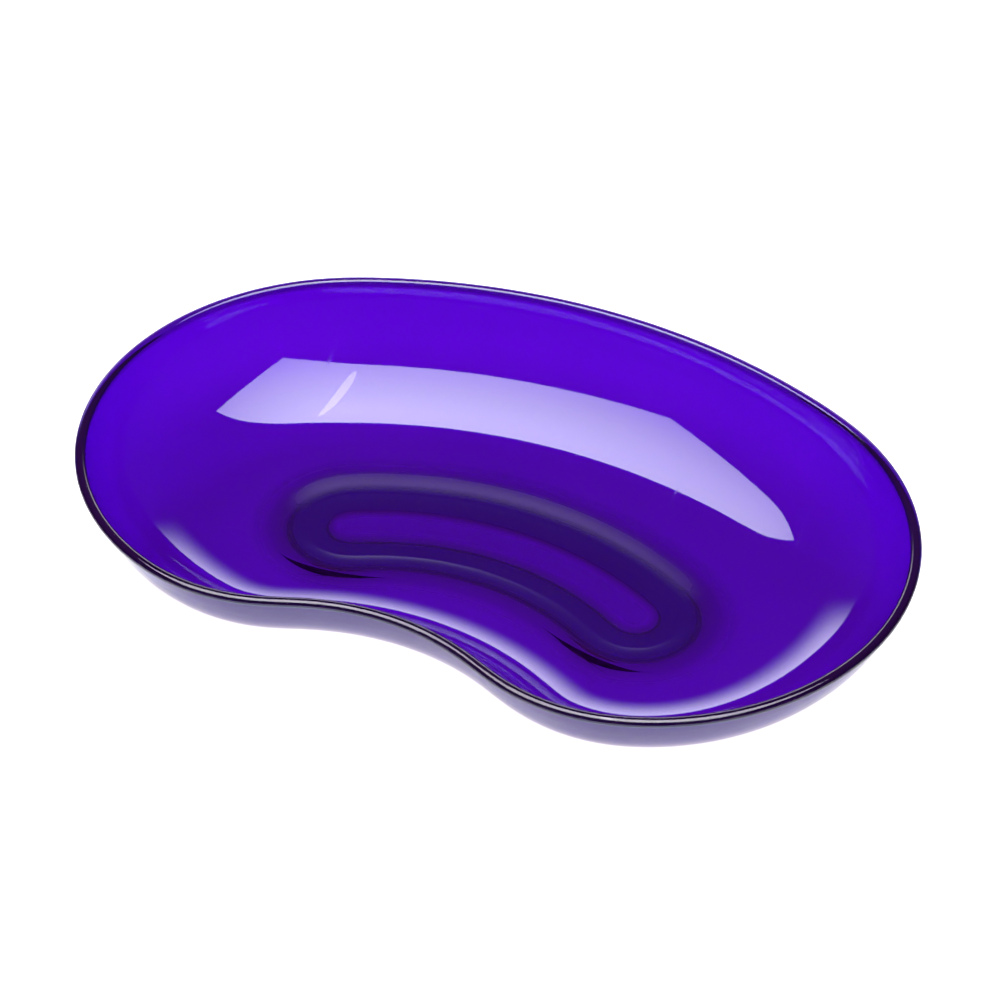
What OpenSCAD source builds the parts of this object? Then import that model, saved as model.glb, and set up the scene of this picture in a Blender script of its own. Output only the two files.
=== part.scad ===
// Kidney dish: a shallow bowl moulded in clear violet plastic, with a round lip and a kidney-shaped foot.
// Its origin is under the middle of the dish, on the surface that it stands on. +X runs along its length
// and +Y points to the long back curve, away from the hollow in the front edge.

/* [Outline] */
// Overall length, from one round end to the other
dish_length = 250; // [235:1:260]
// Radius of the long back curve
back_radius = 187; // [170:1:210]
// Radius of each round end
end_radius = 78; // [76:1:84]
// Radius of each lobe, beside the hollow
lobe_radius = 56; // [54:1:62]
// Angle, turned from straight back, at which a round end becomes a lobe
lobe_start = 162; // [156:1:170]
// Radius of the hollow in the front edge
hollow_radius = 67; // [50:1:90]

/* [Bowl] */
// Height from the foot to the top of the lip
dish_height = 38; // [36:0.5:39]
// Thickness of the wall and of the floor
wall_thickness = 2; // [1.5:0.1:2.2]
// Lean of the wall from upright, just under the lip
wall_draft = 12; // [6:1:13]
// Outside radius of the upper bend of the wall
upper_bend_radius = 36; // [34:0.5:38]
// Angle below level at which the upper bend becomes the lower bend
bend_change = 45; // [40:1:48]

/* [Lip] */
// Height of the lip
lip_height = 2; // [1.8:0.1:3]
// How far the lip stands out past the wall
lip_overhang = 1.2; // [0.8:0.1:2]
// Rise of the lip's rounded top
lip_crown = 1.2; // [0.8:0.1:1.3]
// Radius of the lip's lower edge
lip_round = 0.6; // [0.3:0.1:0.7]

/* [Foot] */
// Distance of each end of the foot's valley line from the middle, to its arc's centre
foot_end_x = 46; // [40:1:48]
// Radius of each end of the foot's valley line
foot_end_radius = 13.5; // [11:0.5:15]
// Where the valley line crosses the middle at the back, from the line of the end centres
foot_back_y = 25.5; // [24:0.5:27]
// Where the valley line crosses the middle at the front, from the line of the end centres
foot_front_y = -1; // [-2:0.5:1]
// Thickness left under the valley
valley_thickness = 3.9; // [3.7:0.1:4.1]
// Drop from the floor to the valley
valley_drop = 0.5; // [0.4:0.1:0.8]
// Rise from the valley to the base pad
pad_rise = 0.3; // [0.2:0.1:0.4]
// Width of the slope outside the valley
outer_slope = 7; // [6:0.5:7]
// Width of the slope inside the valley
inner_slope = 6.5; // [5:0.5:7]

/* [Hidden] */

dish_colour = [0.33, 0.04, 0.78, 0.9];
// Largest turn between two neighbouring sections, along the dish's outline and along the foot's
dish_turn_step = 5;
foot_turn_step = 7.5;
// Flats that stand for a bend or a rounded edge
bend_steps = 6;
crown_steps = 8;
edge_steps = 3;

// Levels, from the surface that the dish stands on
floor_top = valley_thickness + valley_drop;
floor_under = floor_top - wall_thickness;
pad_top = valley_thickness + pad_rise;
pad_under = pad_top - wall_thickness;
lip_under = dish_height - lip_height;

// Where the dish's arcs have their centres, before the dish is centred on its box
end_x = dish_length / 2 - end_radius;
back_drop = sqrt(pow(back_radius - end_radius, 2) - pow(end_x, 2));
back_turn = atan2(end_x, back_drop);
lobe_centre = [end_x, 0] + (end_radius - lobe_radius) * heading(lobe_start);
hollow_drop = sqrt(pow(hollow_radius + lobe_radius, 2) - pow(lobe_centre.x, 2)) - lobe_centre.y;
hollow_turn = atan2(lobe_centre.x, hollow_drop + lobe_centre.y);
middle_y = (back_radius - back_drop + lobe_centre.y - lobe_radius) / 2;

// An arc is [centre, radius, first angle, last angle, side], with side -1 where the outline is hollow.
// Angles turn clockwise from +Y, and the arcs of an outline follow each other clockwise.
end_arc = [[end_x, -middle_y], end_radius, back_turn, lobe_start, 1];
lobe_arc = [lobe_centre - [0, middle_y], lobe_radius, lobe_start, 180 + hollow_turn, 1];
dish_arcs = [
    [[0, -back_drop - middle_y], back_radius, -back_turn, back_turn, 1],
    end_arc,
    lobe_arc,
    [[0, -hollow_drop - middle_y], hollow_radius, hollow_turn, -hollow_turn, -1],
    mirrored(lobe_arc),
    mirrored(end_arc)
];

// The foot's valley line is a smaller kidney of four arcs
foot_back_gap = foot_back_y - foot_end_radius;
foot_back_drop = (pow(foot_end_x, 2) - pow(foot_back_gap, 2)) / (2 * foot_back_gap);
foot_back_turn = atan2(foot_end_x, foot_back_drop);
foot_front_gap = foot_front_y + foot_end_radius;
foot_front_drop = (pow(foot_end_x, 2) - pow(foot_front_gap, 2)) / (2 * foot_front_gap);
foot_front_turn = atan2(foot_end_x, foot_front_drop);
foot_end_arc = [[foot_end_x, -middle_y], foot_end_radius, foot_back_turn, 180 + foot_front_turn, 1];
foot_arcs = [
    [[0, -foot_back_drop - middle_y], foot_back_drop + foot_back_y, -foot_back_turn, foot_back_turn, 1],
    foot_end_arc,
    [[0, -foot_front_drop - middle_y], foot_front_drop + foot_front_y, foot_front_turn, -foot_front_turn, -1],
    mirrored(foot_end_arc)
];

// Section of the wall: x runs outward from the outline, y is height
upper_centre = [
    -lip_overhang - upper_bend_radius * cos(wall_draft),
    lip_under + upper_bend_radius * sin(wall_draft)
];
change_point = upper_centre + upper_bend_radius * [cos(bend_change), -sin(bend_change)];
inner_change_point = change_point - wall_thickness * [cos(bend_change), -sin(bend_change)];
lower_bend_radius = (change_point.y - floor_under) / (1 - sin(bend_change));
lower_centre = change_point - lower_bend_radius * [cos(bend_change), -sin(bend_change)];
wall_run = -lower_centre.x;
inner_draft = asin((upper_centre.y - lip_under) / (upper_bend_radius - wall_thickness));
lip_inner = upper_centre.x + (upper_bend_radius - wall_thickness) * cos(inner_draft);

// Section of the foot: x runs outward from the valley line. Two arcs make each slope, and they meet at
// the angle whose half has the tangent of drop over width.
valley_radius = 6;
outer_angle = 2 * atan2(valley_drop, outer_slope);
inner_angle = 2 * atan2(pad_rise, inner_slope);
outer_crest_radius = outer_slope / sin(outer_angle) - valley_radius;
inner_crest_radius = inner_slope / sin(inner_angle) - valley_radius;
// The ring's outer side is a double bend, from the underside of the floor down to the standing face
side_angle = 60;
side_radius = floor_under / (2 * (1 - cos(side_angle)));
standing_edge = outer_slope - 2 * side_radius * sin(side_angle);
foot_round = 0.8;
// The ring is swept this much too deep and cut level, which leaves one flat standing face
trim_depth = 0.5;
trim_span = 2 * dish_length;

function heading(angle) = [sin(angle), cos(angle)];

function mirrored(arc) = [[-arc[0].x, arc[0].y], arc[1], -arc[3], -arc[2], arc[4]];

// Points of an arc in a section, turned anticlockwise from level. Its last point begins what follows it.
function bend(centre, radius, from, to, steps) =
    [for (i = [0:steps - 1])
        let (angle = from + (to - from) * i / steps)
        centre + radius * [cos(angle), sin(angle)]];

// Stations along an outline, each with its point and its outward direction
function stations(arcs, turn_step) =
    [for (arc = arcs)
        let (steps = ceil(abs(arc[3] - arc[2]) / turn_step))
        for (i = [0:steps - 1])
            let (out = heading(arc[2] + (arc[3] - arc[2]) * i / steps))
            [arc[0] + arc[1] * out, arc[4] * out]];

dish_stations = stations(dish_arcs, dish_turn_step);
foot_stations = stations(foot_arcs, foot_turn_step);

// The outline that lies this far outside a row of stations, or inside it where the distance is negative
function outline(line, distance) = [for (station = line) station[0] + distance * station[1]];

// Carries a section, whose points run anticlockwise, round a closed row of stations
module sweep(line, section) {
    count = len(section);
    total = len(line) * count;
    points = [
        for (station = line, corner = section)
            let (place = station[0] + corner.x * station[1])
            [place.x, place.y, corner.y]
    ];
    faces = [
        for (start = [0:count:total - 1], i = [0:count - 1])
            let (
                j = (i + 1) % count,
                next = (start + count) % total
            )
            each [[start + i, next + j, start + j], [start + i, next + i, next + j]]
    ];
    polyhedron(points, faces, convexity = 6);
}

// Thickened round lip along the top of the wall
module rim_lip() {
    half_width = -lip_inner / 2;
    crown = [
        for (i = [0:crown_steps])
            let (angle = 180 * i / crown_steps)
            [half_width * (cos(angle) - 1), dish_height + lip_crown * (sin(angle) - 1)]
    ];
    color(dish_colour)
        sweep(dish_stations, concat(
            [[lip_inner, lip_under]],
            bend([-lip_round, lip_under + lip_round], lip_round, -90, 0, edge_steps),
            crown
        ));
}

// Upper side wall: a tight bend that stands almost upright under the lip
module upper_wall() {
    inner_radius = upper_bend_radius - wall_thickness;
    color(dish_colour)
        sweep(dish_stations, concat(
            bend(upper_centre, inner_radius, -inner_draft, -bend_change, bend_steps),
            [inner_change_point],
            bend(upper_centre, upper_bend_radius, -bend_change, -wall_draft, bend_steps),
            [[-lip_overhang, lip_under]]
        ));
}

// Lower side wall: a wider bend that runs down into the level floor
module lower_wall() {
    inner_radius = lower_bend_radius - wall_thickness;
    color(dish_colour)
        sweep(dish_stations, concat(
            bend(lower_centre, inner_radius, -bend_change, -90, bend_steps),
            [[-wall_run, floor_top]],
            bend(lower_centre, lower_bend_radius, -90, -bend_change, bend_steps),
            [change_point]
        ));
}

// Level floor between the wall and the foot
module bowl_floor() {
    color(dish_colour)
        translate([0, 0, floor_under])
            linear_extrude(wall_thickness)
                difference() {
                    polygon(outline(dish_stations, -wall_run));
                    polygon(outline(foot_stations, outer_slope));
                }
}

// Foot: a shallow valley inside the dish and the thick ring under it that the dish stands on
module foot_ring() {
    section = concat(
        [[-inner_slope, pad_top]],
        bend([-inner_slope + foot_round, foot_round], foot_round, 180, 270, edge_steps),
        [[-inner_slope + foot_round, -trim_depth], [standing_edge, -trim_depth]],
        bend([standing_edge, side_radius], side_radius, -90, side_angle - 90, edge_steps),
        bend([outer_slope, floor_under - side_radius], side_radius, 90 + side_angle, 90, edge_steps),
        [[outer_slope, floor_under]],
        bend([outer_slope, floor_top - outer_crest_radius], outer_crest_radius,
             90, 90 + outer_angle, bend_steps),
        bend([0, valley_thickness + valley_radius], valley_radius,
             outer_angle - 90, -90 - inner_angle, bend_steps),
        bend([-inner_slope, pad_top - inner_crest_radius], inner_crest_radius,
             90 - inner_angle, 90, bend_steps)
    );
    color(dish_colour)
        difference() {
            sweep(foot_stations, section);
            translate([-trim_span / 2, -trim_span / 2, -2 * trim_depth])
                cube([trim_span, trim_span, 2 * trim_depth]);
        }
}

// Base pad: the panel inside the foot ring, held clear of the surface
module base_pad() {
    color(dish_colour)
        translate([0, 0, pad_under])
            linear_extrude(wall_thickness)
                polygon(outline(foot_stations, -inner_slope));
}

rim_lip();
upper_wall();
lower_wall();
bowl_floor();
foot_ring();
base_pad();
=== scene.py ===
"""Kidney dish in clear violet plastic, on a pale table under one large softbox."""
import math

import bpy
import numpy as np
from mathutils import Matrix, Vector


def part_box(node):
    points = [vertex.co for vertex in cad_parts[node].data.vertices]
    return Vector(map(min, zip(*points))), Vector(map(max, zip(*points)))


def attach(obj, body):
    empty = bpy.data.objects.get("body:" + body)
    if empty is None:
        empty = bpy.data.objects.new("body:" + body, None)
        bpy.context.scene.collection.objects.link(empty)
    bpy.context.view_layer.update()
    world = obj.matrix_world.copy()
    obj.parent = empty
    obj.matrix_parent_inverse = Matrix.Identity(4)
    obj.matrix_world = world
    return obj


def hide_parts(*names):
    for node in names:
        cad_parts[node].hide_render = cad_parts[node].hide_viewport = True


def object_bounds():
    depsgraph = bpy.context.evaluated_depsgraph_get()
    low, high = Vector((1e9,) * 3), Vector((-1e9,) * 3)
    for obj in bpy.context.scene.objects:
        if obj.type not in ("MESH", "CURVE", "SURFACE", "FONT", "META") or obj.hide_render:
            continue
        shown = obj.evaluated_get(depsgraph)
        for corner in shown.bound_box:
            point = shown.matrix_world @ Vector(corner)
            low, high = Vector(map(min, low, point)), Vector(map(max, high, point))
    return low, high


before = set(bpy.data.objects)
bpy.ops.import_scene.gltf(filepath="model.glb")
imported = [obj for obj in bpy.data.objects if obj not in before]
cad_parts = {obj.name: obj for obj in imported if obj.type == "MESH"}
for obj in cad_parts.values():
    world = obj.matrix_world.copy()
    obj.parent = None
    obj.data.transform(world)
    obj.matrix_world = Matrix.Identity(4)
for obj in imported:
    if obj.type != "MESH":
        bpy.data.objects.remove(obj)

cad_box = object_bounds()
MM = 0.001

# ---------------------------------------------------------------- sizes, in millimetres, as in the CAD model
LENGTH = 250.0
BACK_RADIUS, END_RADIUS, LOBE_RADIUS, HOLLOW_RADIUS = 187.0, 78.0, 56.0, 67.0
LOBE_START = 162.0
HEIGHT, WALL = 38.0, 2.0
DRAFT, UPPER_RADIUS, CHANGE = 12.0, 36.0, 45.0
LIP_HEIGHT, LIP_OUT, LIP_CROWN, LIP_ROUND = 2.0, 1.2, 1.2, 0.6
FOOT_END_X, FOOT_END_RADIUS, FOOT_BACK, FOOT_FRONT = 46.0, 13.5, 25.5, -1.0
VALLEY_THICK, VALLEY_DROP, PAD_RISE = 3.9, 0.5, 0.3
OUTER_SLOPE, INNER_SLOPE, VALLEY_RADIUS = 7.0, 6.5, 6.0
FOOT_ROUND, CORNER = 0.8, 0.3

STATIONS = 440  # round each loop; divisible by 4, so that the pad's rungs meet its ends
FINE_STATIONS = 4000  # round half a loop, while its curve is eased
OUTLINE_EASE, FOOT_EASE = 5.0, 3.0  # distance over which one arc's curve eases into the next
# level rows beside the foot, by distance outside its valley line. In front, where the foot comes close to the
# floor's edge, the first floor row passes that edge and some of the floor's quads fold over.
FLOOR_ROWS = (11.0, 9.5, 8.2)
PAD_ROWS = (-7.2, -8.0, -9.0, -10.5, -12.4)
BRIDGE_ROWS = 5  # from the wall's last row to the foot's first

# about how many degrees there are from one row of an arc to the next
UPPER_STEP, LOWER_STEP, CROWN_STEP = 1.3, 1.5, 9
ROUND_STEP, CORNER_STEP, SIDE_STEP = 15, 22.5, 10
INNER_START, OUTER_START = 0.8, 1.5  # degrees below the lip of the upper bend's first row, inside and outside
LIP_TOE = 0.4  # millimetres above the lip's underside of the last upright row inside the dish

FLOOR_TOP = VALLEY_THICK + VALLEY_DROP
FLOOR_UNDER = FLOOR_TOP - WALL
PAD_TOP = VALLEY_THICK + PAD_RISE
PAD_UNDER = PAD_TOP - WALL
LIP_UNDER = HEIGHT - LIP_HEIGHT


def sin(angle):
    return math.sin(math.radians(angle))


def cos(angle):
    return math.cos(math.radians(angle))


# ---------------------------------------------------------------- outlines
def eased_loop(half, ease, count):
    """Stations of a closed loop, the same on both sides of the Y axis, as points and outward directions.
    half lists (radius, turn in degrees) clockwise from the middle of the back to the middle of the front."""
    lengths = [abs(radius * math.radians(turn)) for radius, turn in half]
    half_length = sum(lengths)
    fine = FINE_STATIONS
    s = (np.arange(2 * fine) + 0.5) / fine * half_length
    mirrored = np.minimum(s, 2 * half_length - s)
    curve = np.zeros_like(s)
    start = 0.0
    for (radius, turn), length in zip(half, lengths):
        here = (mirrored >= start) & (mirrored < start + length)
        curve[here] = math.copysign(1 / radius, turn)
        start += length
    waves = np.fft.rfftfreq(len(s), half_length / fine)
    curve = np.fft.irfft(np.fft.rfft(curve) * np.exp(-2 * (math.pi * waves * ease) ** 2), len(s))
    step = half_length / fine
    heading = np.concatenate([[0], np.cumsum(curve) * step])
    middle = (heading[:-1] + heading[1:]) / 2
    x = np.concatenate([[0], np.cumsum(np.cos(middle)) * step])
    y = np.concatenate([[0], -np.cumsum(np.sin(middle)) * step])
    x -= x[fine] * np.arange(len(x)) / fine  # closes what easing opened
    at = np.arange(count) / count * 2 * fine
    places = np.stack([np.interp(at, np.arange(len(x)), v) for v in (x, y)], 1)
    along = np.stack([np.gradient(x), np.gradient(y)], 1)
    along = np.stack([np.interp(at, np.arange(len(x)), along[:, k]) for k in (0, 1)], 1)
    along /= np.linalg.norm(along, axis=1)[:, None]
    return places, np.stack([-along[:, 1], along[:, 0]], 1)


def fitted(places, low, high):
    """Stretches a loop slightly, to fill a box exactly."""
    size = places.max(0) - places.min(0)
    return (places - places.min(0)) / size * (high - low) + low


end_x = LENGTH / 2 - END_RADIUS
back_turn = math.degrees(math.asin(end_x / (BACK_RADIUS - END_RADIUS)))
lobe_x = end_x + (END_RADIUS - LOBE_RADIUS) * sin(LOBE_START)
hollow_turn = math.degrees(math.asin(lobe_x / (HOLLOW_RADIUS + LOBE_RADIUS)))
dish_half = [
    (BACK_RADIUS, back_turn),
    (END_RADIUS, LOBE_START - back_turn),
    (LOBE_RADIUS, 180 + hollow_turn - LOBE_START),
    (HOLLOW_RADIUS, -hollow_turn),
]
top = np.array(cad_box[1]) / MM
bottom = np.array(cad_box[0]) / MM
dish_places, dish_out = eased_loop(dish_half, OUTLINE_EASE, STATIONS)
dish_places = fitted(dish_places, bottom[:2], top[:2])

back_gap = FOOT_BACK - FOOT_END_RADIUS
back_drop = (FOOT_END_X ** 2 - back_gap ** 2) / (2 * back_gap)
front_gap = FOOT_FRONT + FOOT_END_RADIUS
front_drop = (FOOT_END_X ** 2 - front_gap ** 2) / (2 * front_gap)
foot_back_turn = math.degrees(math.atan2(FOOT_END_X, back_drop))
foot_front_turn = math.degrees(math.atan2(FOOT_END_X, front_drop))
foot_half = [
    (back_drop + FOOT_BACK, foot_back_turn),
    (FOOT_END_RADIUS, 180 + foot_front_turn - foot_back_turn),
    (front_drop + FOOT_FRONT, -foot_front_turn),
]
foot_places, foot_out = eased_loop(foot_half, FOOT_EASE, STATIONS)
foot_box = [np.array(corner)[:2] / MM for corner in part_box("foot_ring")]
foot_places = fitted(foot_places, foot_box[0] + OUTER_SLOPE, foot_box[1] - OUTER_SLOPE)


# ---------------------------------------------------------------- section: (x, height, normal x, normal up)
def arc(centre, radius, first, last, step, hollow=False):
    """Rows along an arc, in degrees anticlockwise from level. A hollow arc's centre is not in the plastic."""
    count = max(2, round(abs(last - first) / step))
    face = -1 if hollow else 1
    rows = []
    for i in range(count + 1):
        angle = first + (last - first) * i / count
        rows.append((
            centre[0] + radius * cos(angle), centre[1] + radius * sin(angle),
            face * cos(angle), face * sin(angle),
        ))
    return rows


upper_centre = (-LIP_OUT - UPPER_RADIUS * cos(DRAFT), LIP_UNDER + UPPER_RADIUS * sin(DRAFT))
change_point = (upper_centre[0] + UPPER_RADIUS * cos(CHANGE), upper_centre[1] - UPPER_RADIUS * sin(CHANGE))
lower_radius = (change_point[1] - FLOOR_UNDER) / (1 - sin(CHANGE))
lower_centre = (change_point[0] - lower_radius * cos(CHANGE), change_point[1] + lower_radius * sin(CHANGE))
inner_draft = math.degrees(math.asin((upper_centre[1] - LIP_UNDER) / (UPPER_RADIUS - WALL)))
lip_inner = upper_centre[0] + (UPPER_RADIUS - WALL) * cos(inner_draft)

half_lip = -lip_inner / 2


def crown(angle):
    """A row on the lip's rounded top, which is half an ellipse."""
    return (
        half_lip * (cos(angle) - 1), HEIGHT + LIP_CROWN * (sin(angle) - 1),
        cos(angle) / half_lip, sin(angle) / LIP_CROWN,
    )


inside = (
    [crown(angle) for angle in range(0, 181, CROWN_STEP)]
    + [(lip_inner, LIP_UNDER + LIP_TOE, -1, 0)]
    + arc(upper_centre, UPPER_RADIUS - WALL, -inner_draft - INNER_START, -CHANGE, UPPER_STEP, hollow=True)
    + arc(lower_centre, lower_radius - WALL, -CHANGE, -90, LOWER_STEP, hollow=True)[1:]
)
outside = (
    arc((-LIP_ROUND, LIP_UNDER + LIP_ROUND), LIP_ROUND, 0, -90, ROUND_STEP)
    + arc((-LIP_OUT + CORNER, LIP_UNDER - CORNER), CORNER, 90, 180, CORNER_STEP, hollow=True)
    + arc(upper_centre, UPPER_RADIUS, -DRAFT - OUTER_START, -CHANGE, UPPER_STEP)
    + arc(lower_centre, lower_radius, -CHANGE, -90, LOWER_STEP)[1:]
)

outer_angle = 2 * math.degrees(math.atan2(VALLEY_DROP, OUTER_SLOPE))
inner_angle = 2 * math.degrees(math.atan2(PAD_RISE, INNER_SLOPE))
outer_crest = OUTER_SLOPE / sin(outer_angle) - VALLEY_RADIUS
inner_crest = INNER_SLOPE / sin(inner_angle) - VALLEY_RADIUS
valley_centre = (0, VALLEY_THICK + VALLEY_RADIUS)
foot_inside = (
    [(x, FLOOR_TOP, 0, 1) for x in FLOOR_ROWS]
    + arc((OUTER_SLOPE, FLOOR_TOP - outer_crest), outer_crest, 90, 90 + outer_angle, 3)
    + arc(valley_centre, VALLEY_RADIUS, outer_angle - 90, -90 - inner_angle, 5, hollow=True)[1:]
    + arc((-INNER_SLOPE, PAD_TOP - inner_crest), inner_crest, 90 - inner_angle, 90, 2.5)[1:]
)
side_angle = 60  # steepest slope of the ring's outer side, which is two arcs
side_radius = FLOOR_UNDER / (2 * (1 - cos(side_angle)))
standing_edge = OUTER_SLOPE - 2 * side_radius * sin(side_angle)
foot_outside = (
    arc((OUTER_SLOPE, FLOOR_UNDER - side_radius), side_radius, 90, 90 + side_angle, SIDE_STEP, hollow=True)
    + arc((standing_edge, side_radius), side_radius, side_angle - 90, -90, SIDE_STEP)[1:]
    + arc((-INNER_SLOPE + FOOT_ROUND, FOOT_ROUND), FOOT_ROUND, 270, 180, ROUND_STEP)
    + arc((-INNER_SLOPE - CORNER, PAD_UNDER - CORNER), CORNER, 0, 90, CORNER_STEP, hollow=True)
)


# ---------------------------------------------------------------- mesh
def swept(places, out, rows):
    """Each row of a section carried round a loop, as (points, normals)."""
    made = []
    for x, height, normal_x, normal_up in rows:
        points = np.column_stack([places + x * out, np.full(len(places), height)])
        normals = np.column_stack([normal_x * out, np.full(len(places), normal_up)])
        made.append((points, normals / np.linalg.norm(normals, axis=1)[:, None]))
    return made


def bridged(first, last, count):
    """Level loops between two loops of the same height."""
    return [
        (first[0] + (last[0] - first[0]) * i / (count + 1), first[1])
        for i in range(1, count + 1)
    ]


def surface(wall_rows, foot_rows):
    """The loops of one side of the plastic, from the lip to the last row of the pad."""
    wall = swept(dish_places, dish_out, wall_rows)
    _, height, _, facing = foot_rows[-1]
    pad_rows = [(x, height, 0, facing) for x in PAD_ROWS]
    foot = swept(foot_places, foot_out, foot_rows + pad_rows)
    return wall + bridged(wall[-1], foot[0], BRIDGE_ROWS) + foot


def sides(rows):
    """The quads between each loop and the next."""
    faces = []
    for start in range(0, (rows - 1) * STATIONS, STATIONS):
        for i in range(STATIONS):
            j = (i + 1) % STATIONS
            faces.append((start + i, start + j, start + STATIONS + j, start + STATIONS + i))
    return faces


def rungs(start, flip):
    """The faces that fill the pad inside its last loop, each from the back of that loop to its front."""
    faces = []
    for i in range(-STATIONS // 4, STATIONS // 4):
        across = STATIONS // 2 - i
        rung = [k % STATIONS for k in (i, i + 1, across - 1, across)]
        ring = [start + k for k in dict.fromkeys(rung)]
        faces.append(tuple(ring if flip else ring[::-1]))
    return faces


above = surface(inside, foot_inside)
below = surface(outside, foot_outside)
loops = above[::-1] + below  # from the top of the pad, up and over the lip, to the underside of the pad
points = np.concatenate([loop[0] for loop in loops]) * MM
normals = np.concatenate([loop[1] for loop in loops])
last_loop = (len(loops) - 1) * STATIONS
faces = sides(len(loops)) + rungs(0, False) + rungs(last_loop, True)

mesh = bpy.data.meshes.new("dish_shell")
mesh.from_pydata(points.tolist(), [], faces)
mesh.validate()
mesh.polygons.foreach_set("use_smooth", [True] * len(mesh.polygons))
mesh.normals_split_custom_set_from_vertices(normals.tolist())
mesh.update()

PARTS = 40  # that the points are measured in, to save memory
# how dull the mould is: millimetres outside the foot's valley line, and the roughness added there
OVER_FOOT = (-8.5, -6.5, 6.0, 10.0), (0, 0.12, 0.12, 0)
OVER_REAR = (1.0, 4.5, 8.0, 11.0), (0, 0.31, 0.31, 0)
UNDER_FOOT = (-12, -7, 11, 16), (0, 0.6, 0.6, 0)
# the way that the foot's rear slope faces. The dullness there comes in as the cosine to it rises from REAR_NONE
# by REAR_SPAN.
REAR, REAR_NONE, REAR_SPAN = (-0.43, 0.90), 0.1, 0.85


def from_foot(flat):
    """How many millimetres each point lies outside the foot's valley line, and its nearest station there."""
    nearest = np.concatenate([
        np.hypot(*(part[:, None] - foot_places[None]).transpose(2, 0, 1)).argmin(1)
        for part in np.array_split(flat, PARTS)
    ])
    offset = flat - foot_places[nearest]
    side = np.sign((offset * foot_out[nearest]).sum(1))
    return side * np.linalg.norm(offset, axis=1), nearest


def dull_patches(distance, facing):
    """The roughness that the mould's dull patches add at each point."""
    over = np.interp(distance, *OVER_FOOT)
    rear = np.clip((facing @ np.array(REAR) - REAR_NONE) / REAR_SPAN, 0, 1)
    over += np.interp(distance, *OVER_REAR) * rear**2 * (3 - 2 * rear)
    is_under = np.arange(len(distance)) >= len(above) * STATIONS
    return np.where(is_under, np.interp(distance, *UNDER_FOOT), over)


def store(name, values):
    """Gives the mesh a number at each point, for the plastic's material."""
    mesh.attributes.new(name, "FLOAT", "POINT").data.foreach_set("value", values)


foot_distance, nearest = from_foot(points[:, :2] / MM)
store("foot_distance", foot_distance)
store("dullness", dull_patches(foot_distance, foot_out[nearest]))

dish = bpy.data.objects.new("dish_shell", mesh)
bpy.context.scene.collection.objects.link(dish)


# ---------------------------------------------------------------- nodes
def add(nodes, kind, **values):
    """A new node, with its inputs and settings by name."""
    node = nodes.new(kind)
    for name, value in values.items():
        if name in node.inputs:
            node.inputs[name].default_value = value
        else:
            setattr(node, name, value)
    return node


def ramp(tree, value, stops):
    """The colour at a value, on a ramp with the given (place, colour) stops."""
    node = tree.nodes.new("ShaderNodeValToRGB")
    elements = node.color_ramp.elements
    while len(elements) < len(stops):
        elements.new(0.5)
    for element, (place, colour) in zip(elements, stops):
        element.position = place
        element.color = (*colour, 1)
    tree.links.new(value, node.inputs["Fac"])
    return node.outputs["Color"]


def noise(tree, vector, **values):
    node = add(tree.nodes, "ShaderNodeTexNoise", **values)
    tree.links.new(vector, node.inputs["Vector"])
    return node.outputs["Fac"]


def remapped(tree, value, old, new=(0.0, 1.0), interpolation="LINEAR"):
    """A value carried from an old range to a new one, and kept inside it."""
    node = add(tree.nodes, "ShaderNodeMapRange", interpolation_type=interpolation)
    for end, number in zip(("From Min", "From Max", "To Min", "To Max"), (*old, *new)):
        node.inputs[end].default_value = number
    tree.links.new(value, node.inputs["Value"])
    return node.outputs["Result"]


def combined(tree, operation, first, second):
    """Two numbers in one sum, product or comparison."""
    node = add(tree.nodes, "ShaderNodeMath", operation=operation)
    tree.links.new(first, node.inputs[0])
    tree.links.new(second, node.inputs[1])
    return node.outputs["Value"]


def multiplied(tree, first, second):
    """One colour times another. A mix node's colours are its inputs 6 and 7, and its output 2."""
    node = add(tree.nodes, "ShaderNodeMix", data_type="RGBA", blend_type="MULTIPLY")
    node.inputs[0].default_value = 1.0
    tree.links.new(first, node.inputs[6])
    tree.links.new(second, node.inputs[7])
    return node.outputs[2]


def height_of(tree, vector):
    node = add(tree.nodes, "ShaderNodeSeparateXYZ")
    tree.links.new(vector, node.inputs["Vector"])
    return node.outputs["Z"]


def attribute(tree, name):
    return add(tree.nodes, "ShaderNodeAttribute", attribute_name=name).outputs["Fac"]


# ---------------------------------------------------------------- materials
DYE = [(0.3, (0.134, 0.003, 0.392)), (0.7, (0.149, 0.005, 0.412))]
FOOT_SHADE_RANGE = (-16.0, 44.0)  # distances outside the foot's valley line at the two ends of the ramp of depth and painted shade
# darker over the foot's ring and the pad inside it: partly the deeper colour of the thicker plastic, partly
# painted shade of the table under the foot
FOOT_DEPTH_AND_SHADE = [
    (0.0, (0.85, 1.0, 0.82)),
    (0.11, (0.83, 1.0, 0.80)),
    (0.16, (0.58, 1.0, 0.52)),
    (0.38, (0.58, 1.0, 0.52)),
    (0.56, (1.0, 1.0, 1.0)),
]
LIP_FADE = ((LIP_UNDER - 0.6) * MM, (LIP_UNDER + 0.2) * MM)  # heights between which the lip's painted shade comes in
# the lip darker and greyer: painted shade for the dark lines that refraction draws along the rim
LIP_PAINTED_SHADE = [(0.0, (1.0, 1.0, 1.0)), (1.0, (0.55, 2.0, 0.45))]
GLOSS = (0.02, 0.035)  # roughness, from the least hazy place to the haziest
SCRATCH_DEPTH = 0.10  # roughness that a scratch adds
PASSING = [(0.0, (0.72, 0.70, 0.73)), (1.0, (0.40, 0.37, 0.42))]  # from square on to grazing
BODY_DENSITY, BODY_COLOUR = 1600.0, (0.62, 0.06, 0.91, 1)
TABLE_TONES = [(0.3, (0.79, 0.79, 0.79)), (0.7, (0.82, 0.82, 0.82))]


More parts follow.
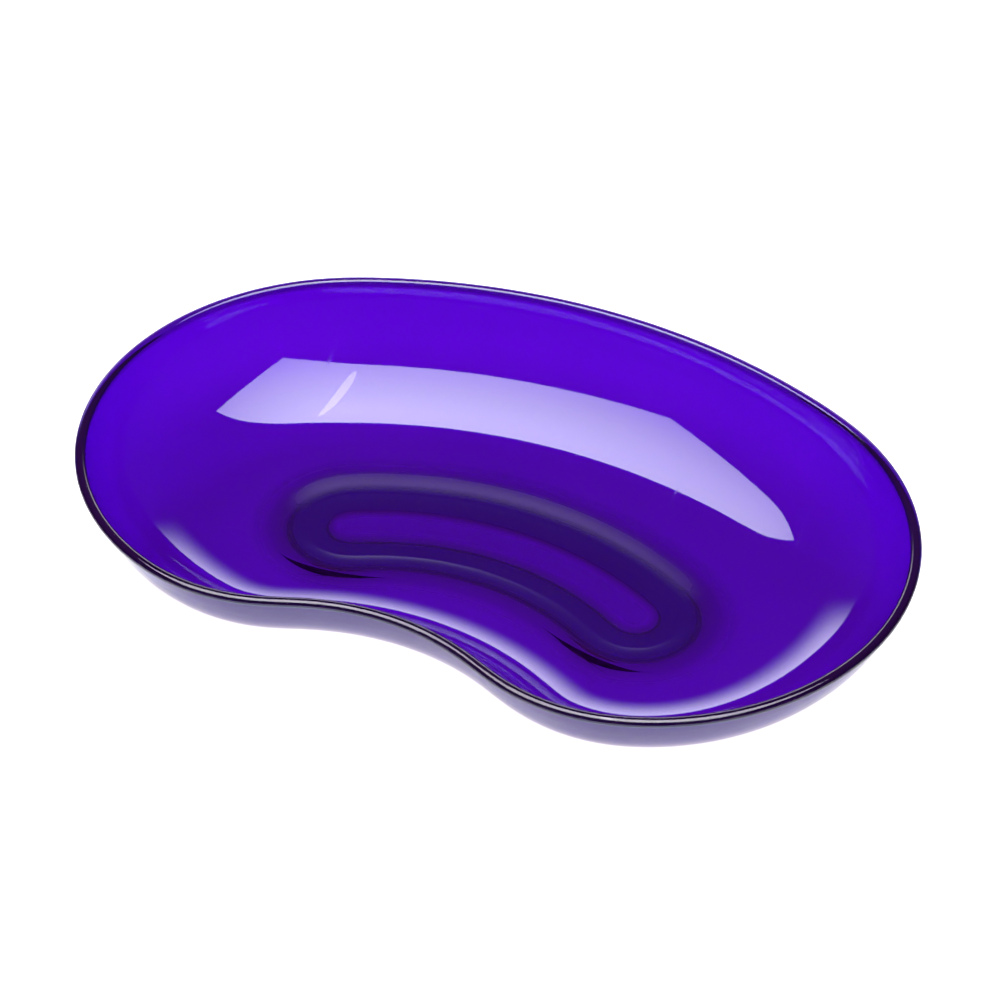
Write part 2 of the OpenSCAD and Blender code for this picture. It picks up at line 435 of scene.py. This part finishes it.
def dyed_and_shaded(tree, place):
    """The plastic's colour: slightly uneven; deeper over the foot's thick ring and its pad, partly painted
    shade of the table under the foot; and darker and greyer in the lip, a painted shade for the rim's dark
    lines.
    """
    dye = ramp(tree, noise(tree, place, Scale=16.0, Detail=3.0, Roughness=0.5), DYE)
    depth_and_shade = ramp(tree, remapped(tree, attribute(tree, "foot_distance"), FOOT_SHADE_RANGE), FOOT_DEPTH_AND_SHADE)
    lip_shade = ramp(tree, remapped(tree, height_of(tree, place), LIP_FADE), LIP_PAINTED_SHADE)
    return multiplied(tree, multiplied(tree, dye, depth_and_shade), lip_shade)


def roughness(tree, place):
    """The plastic's finish: glossy, with a faint haze and sparse scratches, and duller where the mould is."""
    haze = noise(tree, place, Scale=60.0, Detail=6.0, Roughness=0.6)
    gloss = remapped(tree, haze, (0.35, 0.75), GLOSS)
    turn = add(tree.nodes, "ShaderNodeMapping", Rotation=(0.0, 0.0, 0.7), Scale=(420.0, 9.0, 30.0))
    tree.links.new(place, turn.inputs["Vector"])
    wear = noise(tree, turn.outputs["Vector"], Scale=1.0, Detail=2.0, Roughness=0.5)
    scratches = remapped(tree, wear, (0.70, 0.76), (0.0, SCRATCH_DEPTH))
    worn = combined(tree, "ADD", gloss, scratches)
    return combined(tree, "ADD", worn, attribute(tree, "dullness"))


def rippled(tree, place):
    """The surface's direction, with the mould's slow ripple."""
    bump = add(tree.nodes, "ShaderNodeBump", Strength=1.0, Distance=0.00001)
    tree.links.new(noise(tree, place, Scale=22.0, Detail=1.0, Roughness=0.4), bump.inputs["Height"])
    return bump.outputs["Normal"]


def passing_light(tree):
    """What light meets on its way to the table: it goes straight through, dimmed."""
    passing = add(tree.nodes, "ShaderNodeBsdfTransparent")
    slant = add(tree.nodes, "ShaderNodeLayerWeight", Blend=0.5)
    tree.links.new(ramp(tree, slant.outputs["Facing"], PASSING), passing.inputs["Color"])
    return passing.outputs["BSDF"]


def clear_violet():
    material = bpy.data.materials.new("clear_violet_plastic")
    material.use_nodes = True
    tree = material.node_tree
    nodes, link = tree.nodes, tree.links.new
    shader = nodes["Principled BSDF"]
    output = nodes["Material Output"]
    shader.inputs["Transmission Weight"].default_value = 0.92
    shader.inputs["IOR"].default_value = 1.5
    place = add(nodes, "ShaderNodeTexCoord").outputs["Object"]
    link(dyed_and_shaded(tree, place), shader.inputs["Base Color"])
    link(roughness(tree, place), shader.inputs["Roughness"])
    link(rippled(tree, place), shader.inputs["Normal"])

    path = add(nodes, "ShaderNodeLightPath")
    indirect = combined(tree, "MAXIMUM", path.outputs["Is Shadow Ray"], path.outputs["Is Diffuse Ray"])
    either = add(nodes, "ShaderNodeMixShader")
    link(indirect, either.inputs["Fac"])
    link(shader.outputs["BSDF"], either.inputs[1])
    link(passing_light(tree), either.inputs[2])
    link(either.outputs["Shader"], output.inputs["Surface"])

    body = add(nodes, "ShaderNodeVolumeAbsorption", Density=BODY_DENSITY, Color=BODY_COLOUR)
    seen_only = add(nodes, "ShaderNodeMixShader")
    link(indirect, seen_only.inputs["Fac"])
    link(body.outputs["Volume"], seen_only.inputs[1])
    link(seen_only.outputs["Shader"], output.inputs["Volume"])
    return material


def pale_table():
    material = bpy.data.materials.new("pale_table")
    material.use_nodes = True
    tree = material.node_tree
    shader = tree.nodes["Principled BSDF"]
    shader.inputs["Roughness"].default_value = 0.9
    shader.inputs["Specular IOR Level"].default_value = 0.1
    place = add(tree.nodes, "ShaderNodeTexCoord").outputs["Object"]
    tones = ramp(tree, noise(tree, place, Scale=6.0, Detail=4.0), TABLE_TONES)
    tree.links.new(tones, shader.inputs["Base Color"])
    return material


dish.data.materials.append(clear_violet())
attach(dish, "root")
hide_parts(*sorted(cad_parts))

# ---------------------------------------------------------------- table, lights and camera, in metres
TABLE_SIZE, TABLE_GAP = 12, 0.0002
SOFTBOX_FACING = (0.06, -0.10, -0.87)
SOFTBOX_SPREAD = 115  # degrees; less than 180 makes the middle of its reflection brighter than its ends

bpy.ops.mesh.primitive_plane_add(size=TABLE_SIZE, location=(0, 0, -TABLE_GAP))
table = bpy.context.object
table.name = "table"
table.data.materials.append(pale_table())


def panel(name, place, along, facing, size, radiance):
    """A rectangular area light, with its first side along one direction. Its radiance is at full spread."""
    data = bpy.data.lights.new(name, "AREA")
    data.shape = "RECTANGLE"
    data.size, data.size_y = size
    data.energy = radiance * math.pi * size[0] * size[1]
    lamp = bpy.data.objects.new(name, data)
    bpy.context.scene.collection.objects.link(lamp)
    up = -Vector(facing).normalized()
    right = Vector(along) - up * up.dot(Vector(along))
    right.normalize()
    turned = Matrix((right, up.cross(right), up)).transposed().to_4x4()
    lamp.matrix_world = Matrix.Translation(place) @ turned
    return lamp


softbox = panel(
    "softbox", place=(-0.035, -0.055, 0.925), along=(1.13, 0.21, 0.06), facing=SOFTBOX_FACING,
    size=(1.155, 0.70), radiance=4.73,
)
softbox.data.spread = math.radians(SOFTBOX_SPREAD)
# a narrow lamp just under the softbox, for the brighter streak in its reflection
rod = panel(
    "softbox_rod", place=(-0.02, -0.035, 0.90), along=(0.17, -0.594, 0.08), facing=SOFTBOX_FACING,
    size=(0.52, 0.035), radiance=4.0,
)
rod.data.shape = "ELLIPSE"
# fills light the table. They don't show as reflections in the plastic, or through it.
fills = [
    panel("room_fill", place=(0, 0, 3.0), along=(1, 0, 0), facing=(0, 0, -1), size=(6.0, 6.0), radiance=0.4),
    panel(
        "back_fill", place=(-1.0, 1.2, 1.2), along=(1.2, 1.0, 0), facing=(1.0, -1.2, -1.2),
        size=(0.8, 0.8), radiance=25.0,
    ),
]
for fill in fills:
    fill.visible_glossy = False
    fill.visible_transmission = False

# the band of light behind the dish: each pair is where there is none of it, and where it is full. Heights are
# the Z of a direction, and sides are the cosine of its turn from the band's middle.
BAND_TOP, BAND_FOOT = (0.50, 0.24), (0.185, 0.21)
BAND_SIDES = (cos(34), cos(14))
BAND_RADIANCE, ROOM_RADIANCE = 4.8, 0.03
BAND_AZIMUTH = 29  # degrees from +Y towards -X


def studio_world(behind):
    """White to the camera. To all other rays, a dark room with a low band of light in one direction."""
    world = bpy.data.worlds.new("studio")
    bpy.context.scene.world = world
    world.use_nodes = True
    tree = world.node_tree
    nodes, link = tree.nodes, tree.links.new
    nodes.clear()
    output = add(nodes, "ShaderNodeOutputWorld")
    direction = add(nodes, "ShaderNodeTexCoord").outputs["Generated"]
    height = height_of(tree, direction)
    level = add(nodes, "ShaderNodeVectorMath", operation="MULTIPLY")
    level.inputs[1].default_value = (1, 1, 0)
    link(direction, level.inputs[0])
    bearing = add(nodes, "ShaderNodeVectorMath", operation="NORMALIZE")
    link(level.outputs["Vector"], bearing.inputs[0])
    toward = add(nodes, "ShaderNodeVectorMath", operation="DOT_PRODUCT")
    toward.inputs[1].default_value = behind
    link(bearing.outputs["Vector"], toward.inputs[0])
    below_top = remapped(tree, height, BAND_TOP, interpolation="SMOOTHSTEP")
    above_foot = remapped(tree, height, BAND_FOOT, interpolation="SMOOTHSTEP")
    across = remapped(tree, toward.outputs["Value"], BAND_SIDES, interpolation="SMOOTHERSTEP")
    band = combined(tree, "MULTIPLY", combined(tree, "MULTIPLY", below_top, above_foot), across)
    radiance = add(nodes, "ShaderNodeMath", operation="MULTIPLY_ADD")
    radiance.inputs[1].default_value = BAND_RADIANCE
    radiance.inputs[2].default_value = ROOM_RADIANCE
    link(band, radiance.inputs[0])
    room = add(nodes, "ShaderNodeBackground", Color=(1, 1, 1, 1))
    link(radiance.outputs["Value"], room.inputs["Strength"])
    backdrop = add(nodes, "ShaderNodeBackground", Strength=1.0, Color=(1, 1, 1, 1))
    path = add(nodes, "ShaderNodeLightPath")
    choose = add(nodes, "ShaderNodeMixShader")
    link(path.outputs["Is Camera Ray"], choose.inputs["Fac"])
    link(room.outputs["Background"], choose.inputs[1])
    link(backdrop.outputs["Background"], choose.inputs[2])
    link(choose.outputs["Shader"], output.inputs["Surface"])


studio_world((-sin(BAND_AZIMUTH), cos(BAND_AZIMUTH), 0))

# the photograph's view: degrees from -Y towards +X, degrees up, and metres from a point level with the rim
AZIMUTH, ELEVATION, DISTANCE = 25.4, 40.6, 0.83
AIM_X, AIM_Y = 0.0063, -0.01297
look_at = Vector((AIM_X, AIM_Y, cad_box[1].z))

camera_data = bpy.data.cameras.new("camera")
camera_data.lens, camera_data.sensor_width = 105.8, 36
camera_data.clip_start, camera_data.clip_end = 0.01, 50
camera = bpy.data.objects.new("camera", camera_data)
bpy.context.scene.collection.objects.link(camera)
back = Vector((sin(AZIMUTH) * cos(ELEVATION), -cos(AZIMUTH) * cos(ELEVATION), sin(ELEVATION)))
camera.location = look_at + DISTANCE * back
camera.rotation_mode = "QUATERNION"
camera.rotation_quaternion = (-back).to_track_quat("-Z", "Y")
bpy.context.scene.camera = camera
bpy.context.scene.view_settings.view_transform = "Standard"
